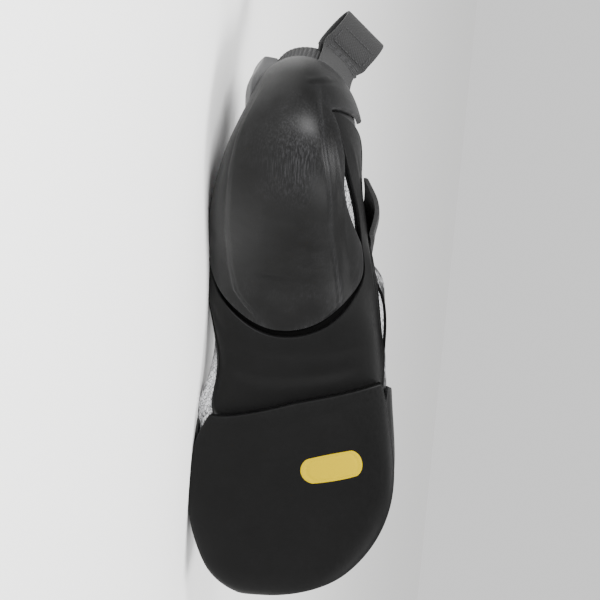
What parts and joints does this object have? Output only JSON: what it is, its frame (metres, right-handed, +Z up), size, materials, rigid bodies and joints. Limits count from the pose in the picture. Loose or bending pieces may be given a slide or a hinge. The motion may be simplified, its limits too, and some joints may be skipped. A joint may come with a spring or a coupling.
{
  "type": "climbing shoe",
  "caption": "Strongly downturned right climbing shoe with a half outsole, a tensioned sling rand, a moulded heel cup and a webbing pull loop, lying on its inner side",
  "frame": {"origin": "centre of the bounding box's bottom face, on the floor that the shoe lies on", "axes": "+X runs from heel to toe, -Y is the way the sole faces, +Z is up from the floor and is roughly the shoe's outer side, because the shoe lies on its inner side"},
  "size_m": [0.2358, 0.1118, 0.0863],
  "materials": {
    "printed_synthetic": "satin",
    "insole_board": "matte",
    "tongue_fabric": "matte",
    "ribbed_knit": "matte",
    "moulded_toe_rubber": "satin",
    "outsole_rubber": "satin",
    "sling_rubber": "satin",
    "moulded_heel_rubber": "satin",
    "strap_webbing": "matte",
    "pull_loop_webbing": "matte"
  },
  "bodies": {
    "root": {"upper": "printed_synthetic", "insole": "insole_board", "tongue": "tongue_fabric", "collar_cuff": "ribbed_knit", "toe_cap": "moulded_toe_rubber", "front_outsole": "outsole_rubber", "sling_rand": "sling_rubber", "heel_cup": "moulded_heel_rubber", "closure_strap": "strap_webbing", "pull_loop": "pull_loop_webbing"}
  },
  "joints": []
}
